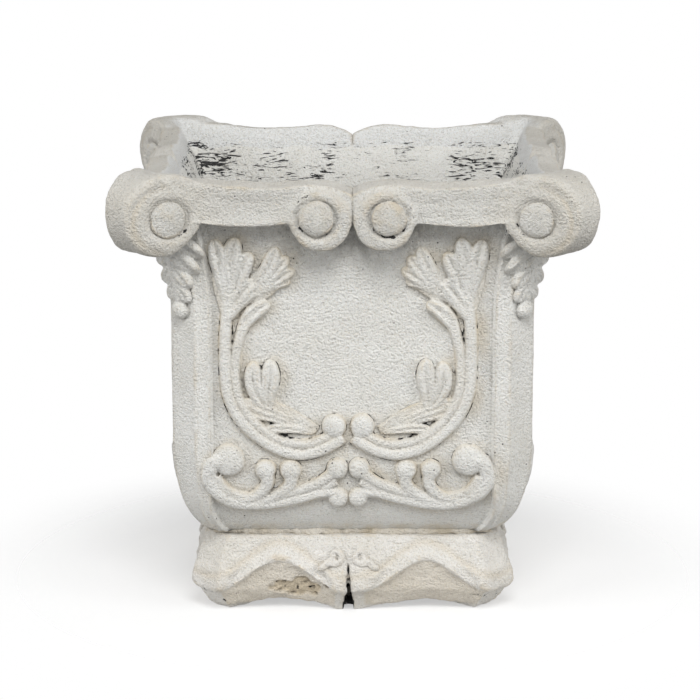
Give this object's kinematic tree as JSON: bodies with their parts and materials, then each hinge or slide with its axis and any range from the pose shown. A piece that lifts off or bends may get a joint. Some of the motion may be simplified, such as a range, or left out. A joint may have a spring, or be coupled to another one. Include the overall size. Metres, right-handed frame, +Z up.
{
  "type": "garden planter",
  "caption": "Square cast stone garden planter with a scrolled rim, horned corner volutes, acanthus panels and a separate scalloped plinth; holds soil and a plant and drains through its floor.",
  "frame": {"origin": "centre of the footprint, on the ground under the feet", "axes": "+Z up, -Y out of the pictured front face, +X to its right"},
  "size_m": [0.406, 0.406, 0.393],
  "materials": {
    "bowl_stone": "matt, whitewashed, tan staining in the recesses",
    "plinth_stone": "matt, whitewashed, warmer and more stained",
    "mortar": "matt, pitted"
  },
  "bodies": {
    "root": {"bowl_body": "bowl_stone", "mortar_bed": "mortar", "plinth_base": "plinth_stone", "plinth_rosettes": "plinth_stone", "centre_scroll_eyes": "bowl_stone", "corner_scroll_eyes": "bowl_stone", "rim_scroll_front_right": "bowl_stone", "rim_scroll_back_right": "bowl_stone", "rim_scroll_back_left": "bowl_stone", "rim_scroll_front_left": "bowl_stone", "acanthus_scroll_front_left": "bowl_stone", "acanthus_scroll_front_right": "bowl_stone", "acanthus_scroll_right_front": "bowl_stone", "acanthus_scroll_right_back": "bowl_stone", "acanthus_scroll_back_right": "bowl_stone", "acanthus_scroll_back_left": "bowl_stone", "acanthus_scroll_left_back": "bowl_stone", "acanthus_scroll_left_front": "bowl_stone", "frieze_scroll_front_left": "bowl_stone", "frieze_scroll_front_right": "bowl_stone", "frieze_scroll_right_front": "bowl_stone", "frieze_scroll_right_back": "bowl_stone", "frieze_scroll_back_right": "bowl_stone", "frieze_scroll_back_left": "bowl_stone", "frieze_scroll_left_back": "bowl_stone", "frieze_scroll_left_front": "bowl_stone", "corner_leaf_front_right": "bowl_stone", "corner_leaf_back_right": "bowl_stone", "corner_leaf_back_left": "bowl_stone", "corner_leaf_front_left": "bowl_stone"}
  },
  "joints": []
}
